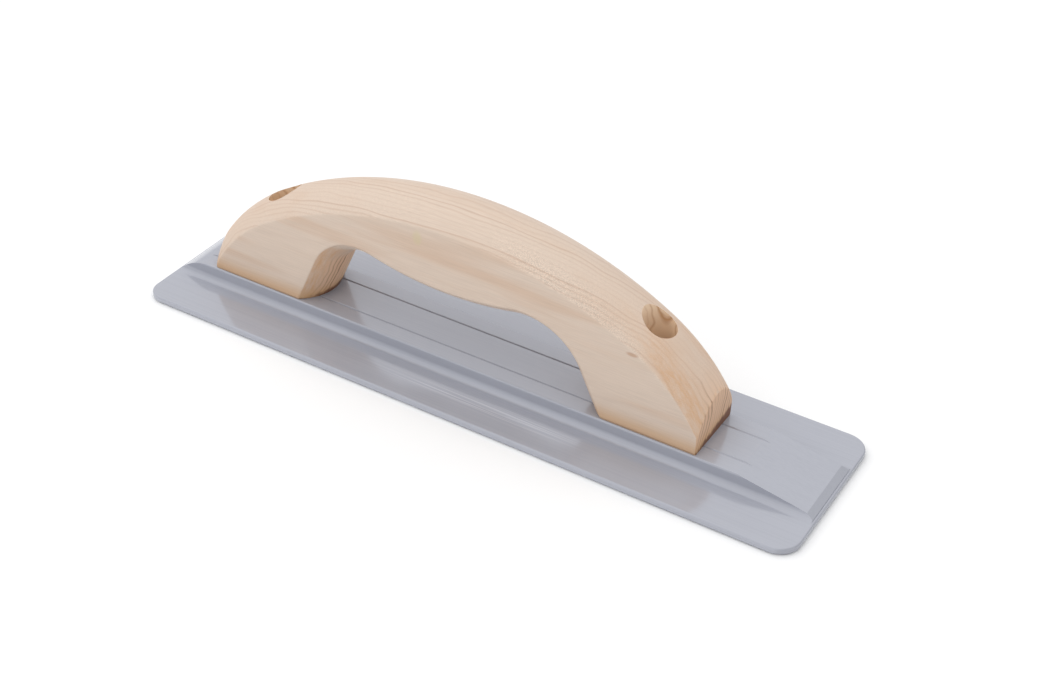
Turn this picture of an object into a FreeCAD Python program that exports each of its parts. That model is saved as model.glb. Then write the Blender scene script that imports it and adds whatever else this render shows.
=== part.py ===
import FreeCAD, Part
import math
import os
import re
import Sketcher

# Magnesium hand float for smoothing concrete. An extruded magnesium blade carries a raised rib along its
# middle, and a carved wooden handle stands on the rib, held by two machine screws that sit deep in
# counterbores over its legs. Origin: middle of the blade's bottom face, X along the blade to the front,
# Z up, millimetres and degrees.

Vector = FreeCAD.Vector
doc = FreeCAD.newDocument("hand_float")

sizeTable = [
    ("blade_length", 304.8),        # 12 in
    ("blade_width", 79.4),          # 3-1/8 in
    ("blade_thickness", 3.0),
    ("front_blade_corner", 9.6),    # plan radii of the corners
    ("rear_blade_corner", 7.8),
    ("blade_edge_round", 0.8),      # along the upper and lower rims
    ("rib_width", 33.0),
    ("rib_height", 10.0),           # from the blade's bottom face
    ("rib_root_round", 3.0),        # hollow where the rib meets the wings
    ("rib_edge_round", 0.7),
    ("rib_end_inset", 1.2),         # the rib stops short of the blade's ends
    ("rib_toe", 0.4),               # height left of the rib at its very ends
    ("groove_spread", 16.6),        # between the two fine lines along the rib
    ("groove_width", 1.0),
    ("groove_depth", 0.4),
    ("front_ramp_length", 34.0),
    ("front_ramp_drop", 5.1),
    ("front_chamfer_length", 3.0),
    ("rear_ramp_length", 17.0),
    ("handle_length", 232.5),
    ("handle_width", 31.6),         # 1-1/4 in
    ("handle_shift", -15.75),       # handle's middle from the blade's middle
    ("grip_height", 65.8),          # crest above the rib
    ("crest_shift", 2.8),           # crest from the handle's middle
    ("crest_round", 179.4),         # the grip's long arc, seen from the side
    ("rear_turn", 31.5),            # degrees of that arc behind the crest
    ("rear_round", 86.0),
    ("front_turn", 29.1),           # degrees of it in front of the crest
    ("front_round", 85.0),
    ("crown_round", 20.5),          # across the grip and across the legs' inner faces
    ("rear_leg", 51.8),             # length along the rib, on the handle's middle line
    ("front_leg", 49.8),
    ("rear_lean", 23.0),            # degrees of the leg's inner face from upright
    ("front_lean", 26.8),
    ("rear_corner", 16.8),          # arch corners, on the handle's middle line
    ("front_corner", 23.7),
    ("finger_clearance", 24.7),     # from the rib to the lowest point of the grip
    ("belly_shift", 0.5),           # that point from the handle's middle
    ("belly_round", 146.0),
    ("screw_spacing", 177.8),       # 7 in
    ("screw_diameter", 6.35),       # 1/4 in
    ("screw_length", 25.4),         # 1 in under the head
    ("screw_grip", 7.4),            # length threaded into the rib
    ("head_diameter", 11.6),
    ("head_height", 4.2),
    ("head_round", 1.6),
    ("slot_width", 1.6),
    ("slot_depth", 2.0),
    ("tip_chamfer", 0.8),
    ("washer_diameter", 12.7),
    ("washer_thickness", 1.3),
    ("counterbore_clearance", 0.8),  # all round the washer
    ("shank_clearance", 0.4),        # all round the screw, in the wood and the washer
    ("thread_clearance", 0.05),      # all round the screw, in the rib
    ("tip_clearance", 0.6),          # under the screw's tip
    ("cutter_overrun", 6.0),         # how far a cutter runs past the wood or metal
    ("crown_margin", 1.2),           # how far the crown cutter is wider than each side
]

sheet = doc.addObject("Spreadsheet::Sheet", "sizes")
for row, (alias, value) in enumerate(sizeTable, start=1):
    sheet.set("A%d" % row, alias)
    sheet.set("B%d" % row, str(value))
    sheet.setAlias("B%d" % row, alias)
doc.recompute()

# The ends of a sketch's edge, and its own axes and origin, as the sketcher numbers them.
START = 1
END = 2
CENTRE = 3
HORIZONTAL_AXIS = -1
VERTICAL_AXIS = -2

LEAST_CHANGE = 1e-3  # cubic mm, under which a step has cut or added nothing
LEVEL = 1e-6         # mm, how far a level edge may rise


def formula(text):
    # every name with an underscore is a cell of the sheet
    return re.sub(r"[a-z]+(_[a-z]+)+", lambda word: "sizes." + word.group(0), text)


def amount(text):
    value = sheet.evalExpression(formula(text).replace("sizes.", ""))
    return float(value)


def drive(item, path, text):
    item.setExpression(path, formula(text))


def addBody(name, x="0", z="0"):
    body = doc.addObject("PartDesign::Body", name)
    body.Label = name
    drive(body, "Placement.Base.x", x)
    drive(body, "Placement.Base.z", z)
    return body


def addSketch(body, name, role, lift="0"):
    sketch = body.newObject("Sketcher::SketchObject", name)
    plane = next(item for item in body.Origin.OriginFeatures if item.Role == role)
    sketch.AttachmentSupport = [(plane, "")]
    sketch.MapMode = "FlatFace"
    drive(sketch, "AttachmentOffset.Base.z", lift)
    return sketch


def dimension(sketch, kind, text, *where):
    index = sketch.addConstraint(Sketcher.Constraint(kind, *where, amount(text)))
    drive(sketch, "Constraints[%d]" % index, text)


def leanAngle(sketch, text, edge):
    # the angle of a line from the sketch's horizontal axis
    index = sketch.addConstraint(Sketcher.Constraint("Angle", edge, math.radians(amount(text))))
    drive(sketch, "Constraints[%d]" % index, "(" + text + ") * 1 deg")


def place(sketch, x, y, edge, end):
    # ties a point to a position measured from the sketch's origin
    for kind, text, axis in (("DistanceX", x, VERTICAL_AXIS), ("DistanceY", y, HORIZONTAL_AXIS)):
        if text == "0":
            sketch.addConstraint(Sketcher.Constraint("PointOnObject", edge, end, axis))
        else:
            dimension(sketch, kind, text, edge, end)


def addArc(sketch, centre, radius, first, last):
    # an arc that runs anticlockwise between two points
    angles = [math.atan2(point.y - centre.y, point.x - centre.x) for point in (first, last)]
    circle = Part.Circle(centre, Vector(0, 0, 1), radius)
    return sketch.addGeometry(Part.ArcOfCircle(circle, *angles))


def addOutline(sketch, corners):
    # a closed outline: each corner is x, y and, where an arc leads on to the next corner, its radius and
    # its turn, 1 for anticlockwise and -1 for clockwise
    points = [Vector(amount(corner[0]), amount(corner[1]), 0) for corner in corners]
    ends = []
    for index, (_, _, *arc) in enumerate(corners):
        here = points[index]
        there = points[(index + 1) % len(points)]
        if arc:
            radius, turn = arc
            half = (there - here) / 2
            rise = math.sqrt(max(amount(radius) ** 2 - half.Length ** 2, 0))
            centre = here + half + Vector(-half.y, half.x, 0) * (turn * rise / half.Length)
            order = (here, there)[::turn]
            edge = addArc(sketch, centre, amount(radius), *order)
            ends.append((edge, START, END) if turn > 0 else (edge, END, START))
        else:
            edge = sketch.addGeometry(Part.LineSegment(here, there))
            ends.append((edge, START, END))
    for index, (edge, _, last) in enumerate(ends):
        following, start, _ = ends[(index + 1) % len(ends)]
        sketch.addConstraint(Sketcher.Constraint("Coincident", edge, last, following, start))
    for (edge, first, _), (x, y, *arc) in zip(ends, corners):
        place(sketch, x, y, edge, first)
        if arc:
            dimension(sketch, "Radius", arc[0], edge)


def addCircles(sketch, radius, places):
    for x, y in places:
        middle = Vector(amount(x), amount(y), 0)
        edge = sketch.addGeometry(Part.Circle(middle, Vector(0, 0, 1), amount(radius)))
        place(sketch, x, y, edge, CENTRE)
        dimension(sketch, "Radius", radius, edge)


def feature(body, kind, name, sketch, length=None, **settings):
    # one step of the piece, which has to change its volume
    before = 0 if body.Shape.isNull() else body.Shape.Volume
    item = body.newObject("PartDesign::" + kind, name)
    item.Profile = sketch
    for key, value in settings.items():
        setattr(item, key, value)
    if length:
        drive(item, "Length", length)
    doc.recompute()
    if abs(body.Shape.Volume - before) < LEAST_CHANGE:
        raise RuntimeError(name + " changes nothing")
    return item


def roundEdges(body, name, radius, wanted):
    item = body.newObject("PartDesign::Fillet", name)
    base = body.Tip if body.Tip != item else item.BaseFeature
    edges = ["Edge%d" % number for number, edge in enumerate(base.Shape.Edges, start=1) if wanted(edge)]
    item.Base = (base, edges)
    drive(item, "Radius", radius)
    doc.recompute()
    return item


def makeBlade():
    body = addBody("blade")
    plan = addSketch(body, "plan", "XY_Plane")
    endX = "blade_length / 2"
    sideY = "blade_width / 2"
    frontX = "(blade_length / 2 - front_blade_corner)"
    frontY = "(blade_width / 2 - front_blade_corner)"
    rearX = "(blade_length / 2 - rear_blade_corner)"
    rearY = "(blade_width / 2 - rear_blade_corner)"
    addOutline(plan, [
        ("-" + rearX, "-" + sideY),
        (frontX, "-" + sideY, "front_blade_corner", 1),
        (endX, "-" + frontY),
        (endX, frontY, "front_blade_corner", 1),
        (frontX, sideY),
        ("-" + rearX, sideY, "rear_blade_corner", 1),
        ("-" + endX, rearY),
        ("-" + endX, "-" + rearY, "rear_blade_corner", 1),
    ])
    feature(body, "Pad", "plate", plan, "blade_thickness")
    roundEdges(body, "rims", "blade_edge_round", lambda edge: edge.BoundBox.ZLength < LEVEL)

    section = addSketch(body, "rib_section", "YZ_Plane")
    side = "rib_width / 2"
    root = "(rib_width / 2 + rib_root_round)"
    shoulder = "(rib_width / 2 - rib_edge_round)"
    outerLip = "(groove_spread / 2 + groove_width / 2)"
    innerLip = "(groove_spread / 2 - groove_width / 2)"
    grooveFloor = "rib_height - groove_depth"
    addOutline(section, [
        ("-" + root, "blade_thickness / 2"),
        (root, "blade_thickness / 2"),
        (root, "blade_thickness", "rib_root_round", -1),
        (side, "blade_thickness + rib_root_round"),
        (side, "rib_height - rib_edge_round", "rib_edge_round", 1),
        (shoulder, "rib_height"),
        (outerLip, "rib_height"),
        ("groove_spread / 2", grooveFloor),
        (innerLip, "rib_height"),
        ("-" + innerLip, "rib_height"),
        ("-groove_spread / 2", grooveFloor),
        ("-" + outerLip, "rib_height"),
        ("-" + shoulder, "rib_height", "rib_edge_round", 1),
        ("-" + side, "rib_height - rib_edge_round"),
        ("-" + side, "blade_thickness + rib_root_round", "rib_root_round", -1),
        ("-" + root, "blade_thickness"),
    ])
    feature(body, "Pad", "rib", section, "blade_length - 2 * rib_end_inset", Midplane=True)

    # both ramps are ground across the whole rib and leave the wings as they are
    top = "rib_height + cutter_overrun"
    toe = "blade_thickness + rib_toe"
    tip = "blade_length / 2 - rib_end_inset"
    beyond = "blade_length / 2 + cutter_overrun"
    front = addSketch(body, "front_ramp_outline", "XZ_Plane")
    addOutline(front, [
        ("blade_length / 2 - front_ramp_length", "rib_height"),
        (tip + " - front_chamfer_length", "rib_height - front_ramp_drop"),
        (tip, toe),
        (beyond, toe),
        (beyond, top),
        ("blade_length / 2 - front_ramp_length", top),
    ])
    feature(body, "Pocket", "front_ramp", front, Type="ThroughAll", Midplane=True)
    run = "(rear_ramp_length - rib_end_inset)"
    drop = "(rib_height - blade_thickness - rib_toe)"
    rear = addSketch(body, "rear_ramp_outline", "XZ_Plane")
    addOutline(rear, [
        ("rear_ramp_length - blade_length / 2", "rib_height",
         "(%s ^ 2 + %s ^ 2) / (2 * %s)" % (run, drop, drop), 1),
        ("-(%s)" % tip, toe),
        ("-(%s)" % beyond, toe),
        ("-(%s)" % beyond, top),
        ("rear_ramp_length - blade_length / 2", top),
    ])
    feature(body, "Pocket", "rear_ramp", rear, Type="ThroughAll", Midplane=True)

    tapped = addSketch(body, "tapped_places", "XY_Plane", "rib_height")
    addCircles(tapped, "screw_diameter / 2 + thread_clearance", [
        ("handle_shift - screw_spacing / 2", "0"),
        ("handle_shift + screw_spacing / 2", "0"),
    ])
    feature(body, "Pocket", "tapped_holes", tapped, "screw_grip + tip_clearance")
    return body


def crownSection(sketch, reach):
    # what the moulding cutter takes off: all that lies outside an arc across the handle, with the middle of
    # the arc at the sketch's origin and the wood on the sketch's negative side
    halfWidth = "(handle_width / 2 + crown_margin)"
    depth = "(crown_round - sqrt(crown_round ^ 2 - %s ^ 2))" % halfWidth
    addOutline(sketch, [
        ("-" + depth, "-" + halfWidth, "crown_round", 1),
        ("-" + depth, halfWidth),
        (reach, halfWidth),
        (reach, "-" + halfWidth),
    ])


def tiltSection(sketch, x, z, angle):
    sketch.AttachmentOffset = FreeCAD.Placement(Vector(), FreeCAD.Rotation(Vector(0, 1, 0), amount(angle)))
    drive(sketch, "AttachmentOffset.Base.x", x)
    drive(sketch, "AttachmentOffset.Base.z", z)
    drive(sketch, "AttachmentOffset.Rotation.Angle", "(%s) * 1 deg" % angle)


def addCrest(sketch):
    # the grip's side view along its middle line: three arcs, each tangent to the next, on past both ends of
    # the wood to where they stand upright
    apex = Vector(amount("crest_shift"), amount("grip_height"), 0)
    middle = apex - Vector(0, amount("crest_round"), 0)
    joins = []
    for sign, turn in ((-1, "rear_turn"), (1, "front_turn")):
        angle = math.radians(amount(turn))
        joins.append(Vector(sign * math.sin(angle), math.cos(angle), 0))
    centres = []
    for toJoin, radius in zip(joins, ("rear_round", "front_round")):
        centres.append(middle + toJoin * amount("crest_round - " + radius))
    rearJoin, frontJoin = (middle + toJoin * amount("crest_round") for toJoin in joins)
    rearEnd = centres[0] - Vector(amount("rear_round"), 0, 0)
    frontEnd = centres[1] + Vector(amount("front_round"), 0, 0)
    rear = addArc(sketch, centres[0], amount("rear_round"), rearJoin, rearEnd)
    crest = addArc(sketch, middle, amount("crest_round"), frontJoin, rearJoin)
    front = addArc(sketch, centres[1], amount("front_round"), frontEnd, frontJoin)
    sketch.addConstraint([
        Sketcher.Constraint("Tangent", rear, START, crest, END),
        Sketcher.Constraint("Tangent", crest, START, front, END),
        Sketcher.Constraint("Horizontal", rear, CENTRE, rear, END),
        Sketcher.Constraint("Horizontal", front, CENTRE, front, START),
    ])
    for edge, radius in ((rear, "rear_round"), (crest, "crest_round"), (front, "front_round")):
        dimension(sketch, "Radius", radius, edge)
    place(sketch, "crest_shift", "grip_height - crest_round", crest, CENTRE)
    dimension(sketch, "DistanceX", "crest_shift - crest_round * sin(rear_turn)", crest, END)
    dimension(sketch, "DistanceX", "crest_shift + crest_round * sin(front_turn)", crest, START)


def archCorner(foot, up, across, radius, belly, bellyRadius):
    # the arc that rounds a leg's straight inner face into the grip's belly: its centre and its two ends
    onOffset = foot + across * radius
    toBelly = belly - onOffset
    along = toBelly.dot(up)
    away = toBelly.dot(toBelly) - along ** 2
    centre = onOffset + up * (along - math.sqrt((bellyRadius + radius) ** 2 - away))
    onBelly = centre + (belly - centre).normalize() * radius
    return centre, centre - across * radius, onBelly


def addArch(sketch, closed):
    # the finger gap's side view along the handle's middle line, on past the legs' feet
    overrun = amount("cutter_overrun")
    belly = Vector(amount("belly_shift"), amount("finger_clearance + belly_round"), 0)
    bellyRadius = amount("belly_round")
    legs = []
    for sign, leg, lean, corner in ((-1, "rear_leg", "rear_lean", "rear_corner"),
                                    (1, "front_leg", "front_lean", "front_corner")):
        angle = math.radians(amount(lean))
        up = Vector(-sign * math.sin(angle), math.cos(angle), 0)
        across = Vector(-sign * math.cos(angle), -math.sin(angle), 0)
        foot = Vector(sign * amount("handle_length / 2 - " + leg), 0, 0)
        centre, onLeg, onBelly = archCorner(foot, up, across, amount(corner), belly, bellyRadius)
        legs.append((foot - up * (overrun / up.y), onLeg, onBelly, centre))
    (rearFoot, rearKnee, rearBelly, rearCentre), (frontFoot, frontKnee, frontBelly, frontCentre) = legs
    rearLeg = sketch.addGeometry(Part.LineSegment(rearFoot, rearKnee))
    rearCorner = addArc(sketch, rearCentre, amount("rear_corner"), rearBelly, rearKnee)
    grip = addArc(sketch, belly, bellyRadius, rearBelly, frontBelly)
    frontCorner = addArc(sketch, frontCentre, amount("front_corner"), frontKnee, frontBelly)
    frontLeg = sketch.addGeometry(Part.LineSegment(frontFoot, frontKnee))
    sketch.addConstraint([
        Sketcher.Constraint("Tangent", rearLeg, END, rearCorner, END),
        Sketcher.Constraint("Tangent", rearCorner, START, grip, START),
        Sketcher.Constraint("Tangent", grip, END, frontCorner, END),
        Sketcher.Constraint("Tangent", frontCorner, START, frontLeg, END),
    ])
    dimension(sketch, "Radius", "rear_corner", rearCorner)
    dimension(sketch, "Radius", "belly_round", grip)
    dimension(sketch, "Radius", "front_corner", frontCorner)
    place(sketch, "belly_shift", "finger_clearance + belly_round", grip, CENTRE)
    place(sketch, "rear_leg - handle_length / 2 - cutter_overrun * tan(rear_lean)", "-cutter_overrun",
          rearLeg, START)
    place(sketch, "handle_length / 2 - front_leg + cutter_overrun * tan(front_lean)", "-cutter_overrun",
          frontLeg, START)
    leanAngle(sketch, "90 - rear_lean", rearLeg)
    leanAngle(sketch, "90 + front_lean", frontLeg)
    if closed:
        sill = sketch.addGeometry(Part.LineSegment(rearFoot, frontFoot))
        sketch.addConstraint([
            Sketcher.Constraint("Coincident", sill, START, rearLeg, START),
            Sketcher.Constraint("Coincident", sill, END, frontLeg, START),
        ])


def makeHandle():
    body = addBody("handle", "handle_shift", "rib_height")
    sawn = addSketch(body, "sawn_outline", "XY_Plane")
    addOutline(sawn, [
        ("-handle_length / 2", "-handle_width / 2"),
        ("handle_length / 2", "-handle_width / 2"),
        ("handle_length / 2", "handle_width / 2"),
        ("-handle_length / 2", "handle_width / 2"),
    ])
    feature(body, "Pad", "sawn_block", sawn, "grip_height + cutter_overrun")

    crestPath = addSketch(body, "crest_path", "XZ_Plane")
    addCrest(crestPath)
    crestSection = addSketch(body, "crest_section", "XY_Plane")
    tiltSection(crestSection,
                "crest_shift - (crest_round - rear_round) * sin(rear_turn) - rear_round",
                "grip_height - crest_round + (crest_round - rear_round) * cos(rear_turn)",
                "180")
    crownSection(crestSection, "grip_height + cutter_overrun")
    sweep = {"Mode": "Binormal", "Binormal": Vector(0, 1, 0)}
    feature(body, "SubtractivePipe", "crowned_top", crestSection, Spine=(crestPath, []), **sweep)

    gap = addSketch(body, "gap_outline", "XZ_Plane")
    addArch(gap, closed=True)
    feature(body, "Pocket", "finger_gap", gap, Type="ThroughAll", Midplane=True)

    archPath = addSketch(body, "arch_path", "XZ_Plane")
    addArch(archPath, closed=False)
    archSection = addSketch(body, "arch_section", "XY_Plane")
    tiltSection(archSection,
                "rear_leg - handle_length / 2 - cutter_overrun * tan(rear_lean)",
                "-cutter_overrun",
                "rear_lean")
    crownSection(archSection, "crown_margin")
    feature(body, "SubtractivePipe", "crowned_arch", archSection, Spine=(archPath, []), **sweep)

    overLegs = [("-screw_spacing / 2", "0"), ("screw_spacing / 2", "0")]
    counterbores = addSketch(body, "counterbore_places", "XY_Plane",
                             "screw_length - screw_grip - washer_thickness")
    addCircles(counterbores, "washer_diameter / 2 + counterbore_clearance", overLegs)
    feature(body, "Pocket", "counterbores", counterbores, Type="ThroughAll", Reversed=True)
    shanks = addSketch(body, "shank_places", "XY_Plane")
    addCircles(shanks, "screw_diameter / 2 + shank_clearance", overLegs)
    feature(body, "Pocket", "shank_holes", shanks, Type="ThroughAll", Reversed=True)
    return body


def makeScrew(name, x):
    # origin under the head, on the screw's axis
    body = addBody(name, x, "rib_height - screw_grip + screw_length")
    half = addSketch(body, name + "_half", "XZ_Plane")
    addOutline(half, [
        ("0", "-screw_length"),
        ("screw_diameter / 2 - tip_chamfer", "-screw_length"),
        ("screw_diameter / 2", "tip_chamfer - screw_length"),
        ("screw_diameter / 2", "0"),
        ("head_diameter / 2", "0"),
        ("head_diameter / 2", "head_height - head_round", "head_round", 1),
        ("head_diameter / 2 - head_round", "head_height"),
        ("0", "head_height"),
    ])
    feature(body, "Revolution", name + "_turned", half, ReferenceAxis=(half, ["V_Axis"]), Angle=360.0)
    slot = addSketch(body, name + "_slot_outline", "XY_Plane", "head_height")
    addOutline(slot, [
        ("-head_diameter", "-slot_width / 2"),
        ("head_diameter", "-slot_width / 2"),
        ("head_diameter", "slot_width / 2"),
        ("-head_diameter", "slot_width / 2"),
    ])
    feature(body, "Pocket", name + "_slot", slot, "slot_depth")
    return body


def makeWasher(name, x):
    body = addBody(name, x, "rib_height - screw_grip + screw_length - washer_thickness")
    rings = addSketch(body, name + "_rings", "XY_Plane")
    addCircles(rings, "washer_diameter / 2", [("0", "0")])
    addCircles(rings, "screw_diameter / 2 + shank_clearance", [("0", "0")])
    feature(body, "Pad", name + "_disc", rings, "washer_thickness")
    return body


pieces = [makeBlade(), makeHandle()]
for end, sign in (("rear", "-"), ("front", "+")):
    x = "handle_shift %s screw_spacing / 2" % sign
    pieces.append(makeScrew(end + "_screw", x))
    pieces.append(makeWasher(end + "_washer", x))
doc.recompute()

# every step has to have built, and every piece is one sound solid, before any file is written
for item in doc.Objects:
    if "Invalid" in item.State or "Error" in item.State:
        raise RuntimeError(item.Name + " did not build")
for piece in pieces:
    if piece.Shape.isNull() or not piece.Shape.isValid() or len(piece.Shape.Solids) != 1:
        raise RuntimeError(piece.Label + " is not one sound solid")
os.makedirs("parts", exist_ok=True)
for piece in pieces:
    piece.Shape.exportStep("parts/%s.step" % piece.Label)
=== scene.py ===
import bmesh
import bpy
import math
from mathutils import Matrix, Vector
from mathutils.kdtree import KDTree


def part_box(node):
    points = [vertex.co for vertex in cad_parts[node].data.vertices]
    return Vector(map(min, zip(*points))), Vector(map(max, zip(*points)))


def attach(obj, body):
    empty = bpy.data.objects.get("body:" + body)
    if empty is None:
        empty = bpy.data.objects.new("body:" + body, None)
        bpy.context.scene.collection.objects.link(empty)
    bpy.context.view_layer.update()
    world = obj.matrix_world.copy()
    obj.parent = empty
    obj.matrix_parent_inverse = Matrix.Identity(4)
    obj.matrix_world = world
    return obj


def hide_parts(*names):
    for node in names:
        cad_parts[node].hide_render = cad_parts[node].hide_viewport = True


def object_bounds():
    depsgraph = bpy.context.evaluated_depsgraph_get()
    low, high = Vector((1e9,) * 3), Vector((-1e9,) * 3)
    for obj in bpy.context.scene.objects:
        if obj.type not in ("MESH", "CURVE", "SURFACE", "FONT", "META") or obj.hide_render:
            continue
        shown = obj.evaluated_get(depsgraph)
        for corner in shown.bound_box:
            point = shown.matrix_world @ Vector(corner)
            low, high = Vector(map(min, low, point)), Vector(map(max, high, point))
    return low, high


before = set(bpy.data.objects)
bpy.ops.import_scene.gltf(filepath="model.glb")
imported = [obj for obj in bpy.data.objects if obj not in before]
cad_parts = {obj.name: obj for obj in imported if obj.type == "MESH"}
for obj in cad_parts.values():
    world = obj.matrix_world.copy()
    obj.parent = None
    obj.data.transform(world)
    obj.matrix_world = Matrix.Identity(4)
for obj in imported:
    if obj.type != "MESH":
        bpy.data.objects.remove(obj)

cadLow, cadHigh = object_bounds()
mm = 0.001


def linearColour(hexText, alpha=1.0):
    channels = [int(hexText[i:i + 2], 16) / 255 for i in (1, 3, 5)]
    linear = [c / 12.92 if c <= 0.04045 else ((c + 0.055) / 1.055) ** 2.4 for c in channels]
    return (*linear, alpha)


def addNode(tree, kind, settings=None, values=None, links=None):
    node = tree.nodes.new("ShaderNode" + kind)
    for name, setting in (settings or {}).items():
        setattr(node, name, setting)
    for socket, value in (values or {}).items():
        node.inputs[socket].default_value = value
    for socket, source in (links or {}).items():
        tree.links.new(source, node.inputs[socket])
    return node


def newMaterial(name):
    material = bpy.data.materials.new(name)
    material.use_nodes = True
    material.node_tree.nodes.clear()
    return material, material.node_tree


def addStops(ramp, stops):
    elements = ramp.color_ramp.elements
    while len(elements) < len(stops):
        elements.new(0.5)
    for element, (position, colour) in zip(elements, stops):
        element.position = position
        element.color = linearColour(colour) if isinstance(colour, str) else (colour, colour, colour, 1.0)


cameraSet = {
    "lens": 60.47,              # mm on a 36 mm wide sensor
    "azimuth": 29.33,           # degrees round from square on to the long side
    "elevation": 35.98,
    "roll": 2.77,
    "distance": 743.0,          # mm
    "aimOffset": (4.0, 18.9),   # mm from the middle of the blade
}


def makeCamera():
    low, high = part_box("blade")
    across, along = cameraSet["aimOffset"]
    aim = Vector(((low.x + high.x) / 2 + across * mm, (low.y + high.y) / 2 + along * mm, low.z))
    azimuth = math.radians(cameraSet["azimuth"])
    elevation = math.radians(cameraSet["elevation"])
    back = Vector((math.sin(azimuth) * math.cos(elevation), -math.cos(azimuth) * math.cos(elevation),
                   math.sin(elevation)))
    data = bpy.data.cameras.new("camera")
    data.lens = cameraSet["lens"]
    data.sensor_width = 36.0
    data.clip_start = 0.01
    camera = bpy.data.objects.new("camera", data)
    bpy.context.scene.collection.objects.link(camera)
    turn = (-back).to_track_quat("-Z", "Y").to_matrix().to_4x4()
    roll = Matrix.Rotation(math.radians(cameraSet["roll"]), 4, "Z")
    camera.matrix_world = Matrix.Translation(aim + back * cameraSet["distance"] * mm) @ turn @ roll
    bpy.context.scene.camera = camera


makeCamera()
print("camera placed")

studio = {
    "floorColour": "#f4f4f4",
    "overhead": (1.05, "#ffffff"),      # brightness and colour of the light tent's top
    "walls": (0.72, "#f3f5fa"),         # and of its sides, level with the object
    "leftToRight": (1.07, 0.93),        # how much brighter its rear end is than its front end
    "keyPower": 8.5,        # W, a large soft box high on the left
    "keySize": 2.2,         # m
    "keyPlace": (-0.6, -0.3, 1.3),      # m
    "floorSize": 6.0,       # m each way from the middle
    "floorDrop": 0.0002,    # m, so that the blade's face and the floor don't meet
}


def addSoftBox(name, place, size, power):
    data = bpy.data.lights.new(name, "AREA")
    data.shape = "SQUARE"
    data.size = size
    data.energy = power
    lamp = bpy.data.objects.new(name, data)
    bpy.context.scene.collection.objects.link(lamp)
    lamp.location = place
    lamp.visible_glossy = False     # softened so far that metal shows no image of it
    lamp.rotation_euler = (-Vector(place)).to_track_quat("-Z", "Y").to_euler()


def makeStudio():
    world = bpy.data.worlds.new("studio")
    bpy.context.scene.world = world
    world.use_nodes = True
    tree = world.node_tree
    tree.nodes.clear()
    around = addNode(tree, "TexCoord")
    height = addNode(tree, "SeparateXYZ", links={"Vector": around.outputs["Generated"]})
    tent = addNode(tree, "ValToRGB", links={"Fac": height.outputs["Z"]})
    tent.color_ramp.interpolation = "EASE"
    for element, (strength, colour) in zip(tent.color_ramp.elements, (studio["walls"], studio["overhead"])):
        element.color = [channel * strength for channel in linearColour(colour)]
    tent.color_ramp.elements[1].position = 0.8
    left, right = studio["leftToRight"]
    sideways = addNode(tree, "MapRange", values={
        "From Min": -1.0, "From Max": 1.0, "To Min": left, "To Max": right},
        links={"Value": height.outputs["X"]})
    glow = addNode(tree, "Background", links={
        "Color": tent.outputs["Color"], "Strength": sideways.outputs["Result"]})
    addNode(tree, "OutputWorld", links={"Surface": glow.outputs["Background"]})
    addSoftBox("key", studio["keyPlace"], studio["keySize"], studio["keyPower"])

    mesh = bpy.data.meshes.new("floor")
    bm = bmesh.new()
    bmesh.ops.create_grid(bm, x_segments=8, y_segments=8, size=studio["floorSize"])
    bm.to_mesh(mesh)
    bm.free()
    floor = bpy.data.objects.new("floor", mesh)
    bpy.context.scene.collection.objects.link(floor)
    floor.location.z = cadLow.z - studio["floorDrop"]
    material, tree = newMaterial("paperSweep")
    paper = addNode(tree, "BsdfPrincipled", values={
        "Base Color": linearColour(studio["floorColour"]), "Roughness": 0.9, "Specular IOR Level": 0.1})
    addNode(tree, "OutputMaterial", links={"Surface": paper.outputs["BSDF"]})
    mesh.materials.append(material)


makeStudio()
bpy.context.scene.view_settings.view_transform = "Standard"
print("studio lit")

magnesium = {
    "colour": "#adafb8",
    "darkStreak": "#a9abb4",
    "flankPaintedLight": 1.03,     # painted light: the upright faces are painted a little lighter
    "rampPaintedShade": 0.88,      # painted shade: faces of the ramp that turn forwards are painted darker
    "bareShare": 0.21,      # how much of the skin mirrors; the rest is dull oxide film
    "roughness": (0.09, 0.17),
    "paintedReflection": 0.24,            # how much brighter the painted reflection on the near wing is, drawn as lengthwise streaks
    "paintedReflectionPlace": (9.0, -27.0),       # mm from the blade's middle
    "paintedReflectionSize": (62.0, 5.5),         # mm each way from there
    "dieLine": 0.45,        # mm across each line left by the extrusion die
    "dieLineLength": 60.0,
    "bumpStrength": 0.03,
    "bumpHeight": 0.01,     # mm
    "cloud": 35.0,          # mm, handling and oxide patches
    "grooveShade": ("#4c4c56", 0.4, 0.38),  # painted shade in the fine grooves, on the far side and on the near side
    "grooveShadeEnds": (8.0, 6.0),        # mm each side of the handle's front end over which it thins
    "openGrooveShade": 0.3,               # how much of it is left past there
    "grooveSpread": 16.6,           # mm
    "grooveWidth": 1.0,
    "grooveDepth": 0.4,
}


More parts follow.
